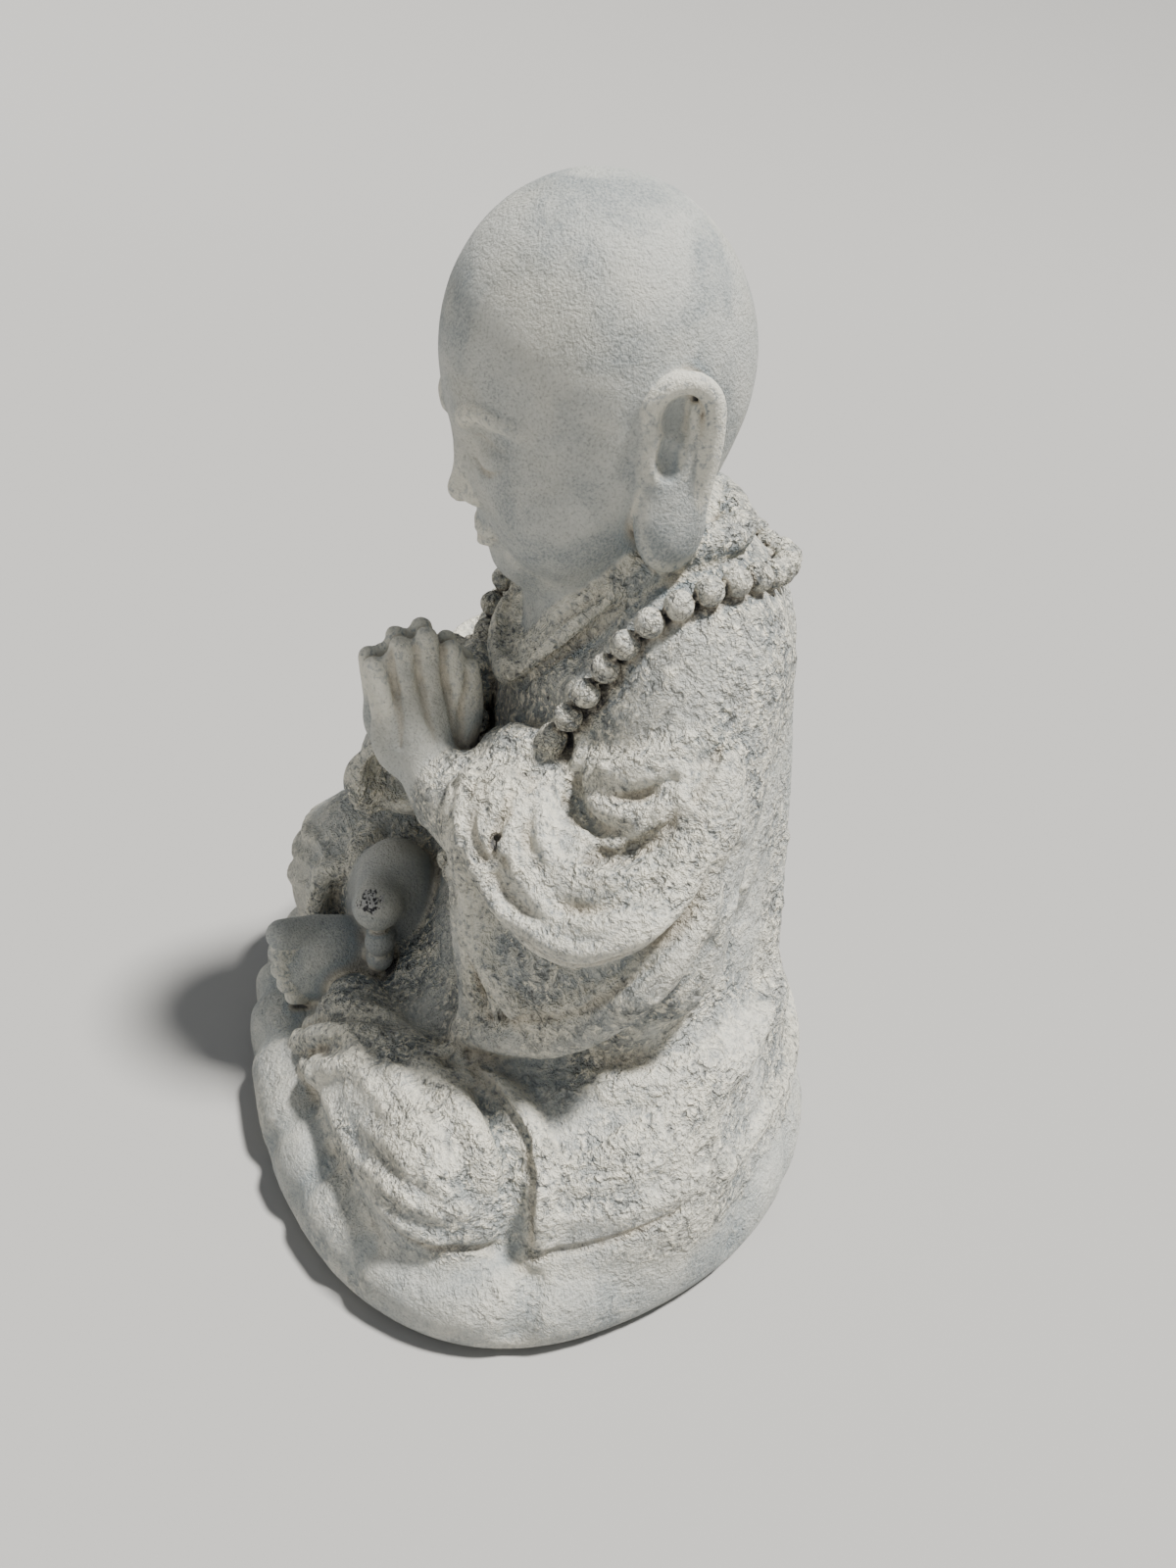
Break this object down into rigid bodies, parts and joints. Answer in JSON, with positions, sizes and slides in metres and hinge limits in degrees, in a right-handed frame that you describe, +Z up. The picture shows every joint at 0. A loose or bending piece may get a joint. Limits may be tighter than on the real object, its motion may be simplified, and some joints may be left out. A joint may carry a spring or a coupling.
{
  "type": "praying child monk garden statue",
  "caption": "Cast stone garden statue of a child monk seated cross-legged in prayer on an oval pleated cushion, with a wide-sleeved robe and a long string of beads.",
  "frame": {"origin": "middle of the flat underside", "axes": "+Z up, -Y to the front, the way the figure faces, +X to the figure's left"},
  "size_m": [0.3477, 0.2881, 0.45],
  "materials": {
    "cast_stone": "matt, crackled on the robe and smoother on head, hands and feet"
  },
  "bodies": {
    "root": {"figure_and_cushion": "cast_stone"}
  },
  "joints": []
}
